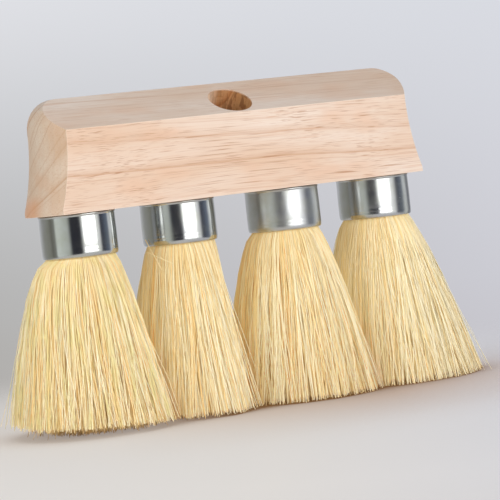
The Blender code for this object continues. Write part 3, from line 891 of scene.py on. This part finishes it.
def fibreLines(number, chance):
    count = fibre["count"]
    levels = np.array(fibre["levels"])
    order = np.arange(count)
    theta = (order * goldenAngle + chance.normal(0, fibre["jitter"][1], count)) % math.tau
    u = np.clip(np.sqrt((order + 0.5) / count) + chance.normal(0, fibre["jitter"][0], count), 0.01, 1.0)

    # bundles that hold together part of the way down
    many = fibre["clumps"]
    order = np.arange(many)
    cu = np.clip(np.sqrt((order + 0.5) / many) + chance.normal(0, fibre["clumpJitter"][0], many), 0.02, 0.99)
    ct = (order * goldenAngle + chance.normal(0, fibre["clumpJitter"][1], many)) % math.tau
    px, py = u * np.cos(theta), u * np.sin(theta)
    qx, qy = cu * np.cos(ct), cu * np.sin(ct)
    nearest = np.argmin((px[:, None] - qx[None, :]) ** 2 + (py[:, None] - qy[None, :]) ** 2, axis=1)

    radius, rise = knotPaths(number, u, theta, levels)
    clumpRadius = knotPaths(number, cu, ct, levels)[0]
    lines = np.stack([radius * np.cos(theta)[:, None], radius * np.sin(theta)[:, None]], axis=2)
    clumpLines = np.stack([clumpRadius * np.cos(ct)[:, None], clumpRadius * np.sin(ct)[:, None]], axis=2)
    run = np.clip(levels, 0, 1)
    letGo = fibre["release"] * smooth(*fibre["releaseFrom"], run)
    hold = fibre["clumping"] * smooth(*fibre["holdFrom"], run) * (1 - letGo)
    grip = chance.uniform(*fibre["grip"], many)[nearest]
    pull = np.clip(hold * grip[:, None], 0, 0.9)[:, :, None]
    lines = between(lines, clumpLines[nearest], pull)

    # each bundle leans and sways its own way, and each fibre bends in it
    lean = chance.normal(0, fibre["clumpLean"], (many, 2))[nearest]
    lines = lines + lean[:, None, :] * (run ** fibre["leanPower"])[:, None]
    sway = chance.normal(0, fibre["sway"], (many, 2))[nearest]
    swayPhase = chance.uniform(0, math.tau, many)[nearest]
    turns = np.sin(run * fibre["swayTurn"] + swayPhase[:, None]) * smooth(*fibre["swayFrom"], run)
    lines = lines + sway[:, None, :] * turns[:, :, None]
    bend = chance.normal(0, fibre["bend"], (count, 2))
    bend = bend * chance.gamma(1.0, fibre["bendSpread"], count)[:, None]
    lines = lines + bend[:, None, :] * (run ** 2)[:, None]
    wave = chance.normal(0, fibre["wave"], (count, 2))
    phase = chance.uniform(0, math.tau, count)
    ripples = np.sin(run * fibre["waveTurn"] + phase[:, None]) * smooth(*fibre["waveFrom"], run)
    lines = lines + wave[:, None, :] * ripples[:, :, None]

    tips = rise + chance.exponential(fibre["ragged"], count)
    tips = np.clip(tips + chance.normal(0, fibre["clumpTip"], many)[nearest], fibre["tipLowest"], None)
    heights = ferrule["foot"] - levels * (ferrule["foot"] - tips)[:, None]
    return lines, heights, nearest, u, theta


def keepInside(number, lines, heights, slack):
    # no fibre passes the edge of the knot by more than a little, or the mouth of its cup
    distance = np.hypot(lines[..., 0], lines[..., 1])
    angle = np.arctan2(lines[..., 1], lines[..., 0])
    bulge = between(*fibre["knots"][number]["bulge"], (1 + np.cos(angle)) / 2)
    edge = knotEdge(number, angle, runDown(heights), bulge, slack)
    return lines * np.minimum(1, edge / np.maximum(distance, 0.01))[:, :, None]


def pressed(number, lines, heights):
    # 1 where a fibre lies against the next knot towards -X, 0 from a set distance off; it sets the painted
    # shade there
    if number == 0:
        return np.zeros(heights.shape)
    here, there = ferrule["places"][number], ferrule["places"][number - 1]
    x = lines[..., 0] + here[0] - there[0]
    y = lines[..., 1] + here[1] - there[1]
    bulge = fibre["knots"][number - 1]["bulge"][1]
    edge = knotEdge(number - 1, np.arctan2(y, x), runDown(heights), bulge)
    return 1 - smooth(0.0, fibre["pressReach"], np.hypot(x, y) - edge)


def unit(vectors):
    return vectors / np.linalg.norm(vectors, axis=-1, keepdims=True)


def tubes(name, centre, lines, heights, widths, tones, depths, presses):
    # three-sided, closed at both ends
    count, rings = heights.shape
    path = np.concatenate([lines, heights[:, :, None]], axis=2)
    tangent = unit(np.gradient(path, axis=1))
    side = unit(np.cross(tangent, np.array([0.31, 0.95, 0.0])))  # any level direction does
    other = np.cross(tangent, side)
    turn = np.random.default_rng(fibre["turnSeed"]).uniform(0, math.tau, count)
    points = np.empty((count, rings, 3, 3))
    for corner in range(3):
        angle = turn + math.tau * corner / 3
        spoke = side * np.cos(angle)[:, None, None] + other * np.sin(angle)[:, None, None]
        points[:, :, corner] = path + spoke * (widths / 2)[:, :, None]
    points[:, :, :, 0] += centre[0]
    points[:, :, :, 1] += centre[1]
    points[:, :, :, 2] = np.maximum(points[:, :, :, 2], fibre["lowest"])
    base = (np.arange(count) * rings * 3)[:, None, None]
    ring = base + (np.arange(rings - 1) * 3)[:, None]
    corner = np.arange(3)
    after = (corner + 1) % 3
    quads = np.stack([ring + corner, ring + after, ring + 3 + after, ring + 3 + corner], axis=3)
    start = base[:, :, 0] + np.array([[2, 1, 0]])
    end = base[:, :, 0] + (rings - 1) * 3 + np.array([[0, 1, 2]])
    attributes = {
        "tone": np.repeat(tones, rings * 3),
        "depth": np.repeat(depths, rings * 3),
        "press": np.repeat(presses.ravel(), 3),
        "run": np.repeat(runDown(heights).ravel(), 3),
    }
    thing = meshFromArrays(name, points.reshape(-1, 3) * mm, [quads.reshape(-1, 4), start, end], attributes)

    # shading normals between each fibre's own and those of the knot as a whole
    own = unit(points - path[:, :, None] - np.array([centre[0], centre[1], 0.0]))
    whole = unit(np.concatenate([lines, np.full((count, rings, 1), fibre["wholeRise"])], axis=2))
    blended = unit(between(own, whole[:, :, None], fibre["softNormals"]))
    thing.data.normals_split_custom_set_from_vertices(blended.reshape(-1, 3))
    return thing


def makeKnot(number, material):
    chance = np.random.default_rng(fibre["seed"] + number)
    lines, heights, nearest, u, theta = fibreLines(number, chance)
    lines = keepInside(number, lines, heights, fibre["slack"])
    count, rings = heights.shape
    taper = np.linspace(1, fibre["tipWidth"], rings)
    widths = chance.uniform(*fibre["width"], count)[:, None] * taper
    bundleTone = chance.normal(0, fibre["toneSpread"][0], fibre["clumps"])[nearest]
    ownTone = chance.normal(0, fibre["toneSpread"][1], count)
    shape = fibre["knots"][number]
    tones = np.clip(shape["tone"] + bundleTone + ownTone, 0, 1)

    # some outer fibres lie aslant over the others, and a few long ones stand out of the knot
    run = np.clip(np.array(fibre["levels"]), 0, 1)
    outer = chance.permutation(np.where(u > fibre["outerFrom"])[0])
    slanted, wild = outer[:fibre["crossers"]], outer[fibre["crossers"]:][:fibre["flyaways"]]
    slantedSide = chance.normal(0, fibre["slant"], len(slanted))
    slantedOut = chance.uniform(*fibre["crossOut"], len(slanted))
    wildSide = chance.normal(0, fibre["crossing"], len(wild))
    wildOut = np.minimum(chance.gamma(fibre["flyShape"], shape["fly"], len(wild)), fibre["flyLimit"])
    for chosen, sideways, far in ((slanted, slantedSide, slantedOut), (wild, wildSide, wildOut)):
        out = np.stack([np.cos(theta[chosen]), np.sin(theta[chosen])], axis=1)
        along = np.stack([-out[:, 1], out[:, 0]], axis=1)
        push = out * far[:, None] + along * sideways[:, None]
        lines[chosen] += push[:, None, :] * (run ** fibre["strayPower"])[:, None]
        # painted light: these outer fibres are made paler
        tones[chosen] = np.clip(tones[chosen] + fibre["strayPaintedLight"], 0, 1)
    lines = keepInside(number, lines, heights, fibre["flyLimit"])
    centre = ferrule["places"][number]
    for axis, proud in enumerate(fibre["standProud"]):
        low, high = cadBox[0][axis] / mm - proud, cadBox[1][axis] / mm + proud
        lines[:, :, axis] = np.clip(lines[:, :, axis] + centre[axis], low, high) - centre[axis]

    for place, (owner, upper, lower) in enumerate(fibre["stubs"]):
        if owner == number:
            chosen = wild[place]
            course = between(np.array(upper), np.array(lower), np.linspace(0, 1, rings)[:, None])
            lines[chosen] = course[:, :2] - np.array(centre)
            heights[chosen] = course[:, 2]
            widths[chosen] = fibre["width"][1]

    name = "tampicoKnot" + str(number + 1)
    knot = tubes(name, centre, lines, heights, widths, tones, u, pressed(number, lines, heights))
    knot.data.materials.append(material)
    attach(knot, "root")
    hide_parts("fibre_knot_" + str(number + 1))
    print(name, len(knot.data.polygons), "faces")


def bleachedTampico(number):
    # dressed plant fibre: stiff, faintly glossy straw with darker bundles deep in the knot
    material, shader, add = newMaterial("bleachedTampico" + str(number + 1), fibre["roughness"])
    knot = fibre["knots"][number]
    tone, run, depth, press = (add("Attribute", {"attribute_name": name}, output="Fac")
                               for name in ("tone", "run", "depth", "press"))
    place = add("TexCoord", output="Object")
    mottleMap = add("Mapping", {"Scale": perMetre(fibre["mottleCell"])}, {0: place})
    mottle = add("TexNoise", {"Scale": 1.0, "Detail": 2.0}, {0: mottleMap})
    mottled = add("Math.MULTIPLY_ADD", {1: fibre["mottle"], 2: -fibre["mottle"] / 2}, {0: mottle})
    total = add("Math.ADD", {"use_clamp": True}, {0: tone, 1: mottled})
    colour = add("ValToRGB", links={0: total})
    setRamp(colour.node, [(stop, fibre[key]) for stop, key in fibre["stops"]])
    greenMap = add("Mapping", {"Scale": perMetre(fibre["greenCell"])}, {0: place})
    green = add("TexNoise", {"Scale": 1.0, "Detail": 1.0}, {0: greenMap})
    greenMask = add("MapRange", {**fibre["greenRange"], 4: knot["green"]}, {0: green})
    rootMask = add("MapRange", fibre["rootRange"], {0: run})

    # painted shade: little light reaches the fibre inside the knot, least of all at its foot, so it is
    # painted darker there
    inside = add("MapRange", fibre["deepRange"], {0: depth})
    upper, lower = (value * knot["inside"] for value in fibre["footShade"])
    footShade = add("MapRange", {**fibre["footRange"], 3: upper, 4: lower}, {0: run})
    shade = add("Math.MULTIPLY", links={0: inside, 1: footShade})
    behindRim = add("MapRange", fibre["behindRange"], {0: depth})
    atTip = add("MapRange", fibre["tipRange"], {0: run})
    dark = add("Math.MULTIPLY", links={0: behindRim, 1: atTip})
    # painted shade in the crease where the fibre lies against the next knot
    creaseShade = add("Math.MULTIPLY", {1: fibre["creaseShare"]}, {0: press})
    for share, key, how in (
            (greenMask, "greenish", "MIX"), (rootMask, "root", "MIX"), (shade, "deep", "MIX"),
            (dark, "darkFoot", "MIX"), (creaseShade, "creaseShade", "MULTIPLY")):
        colour = add("Mix", {"blend_type": how, 7: fibre[key]}, {0: share, 6: colour})

    # painted light: the fibre glows, warmer than its colour and dimmer where it is painted in shade, in place
    # of light that runs on from fibre to fibre and comes out warmer than it went in
    glowColour = add("Mix", {"blend_type": "MULTIPLY", 0: 1.0, 7: fibre["paintedGlowTint"]}, {6: colour})
    unlit = shade
    for other in (dark, creaseShade):
        unlit = add("Math.MAXIMUM", links={0: unlit, 1: other})
    strength = fibre["paintedGlowStrength"]
    glowStrength = add("MapRange", {3: strength, 4: strength * fibre["paintedGlowInShade"]}, {0: unlit})
    connect(shader, {"Base Color": colour, "Emission Color": glowColour, "Emission Strength": glowStrength})
    return material


for number in range(len(fibre["knots"])):
    makeKnot(number, bleachedTampico(number))
print("fibre made")
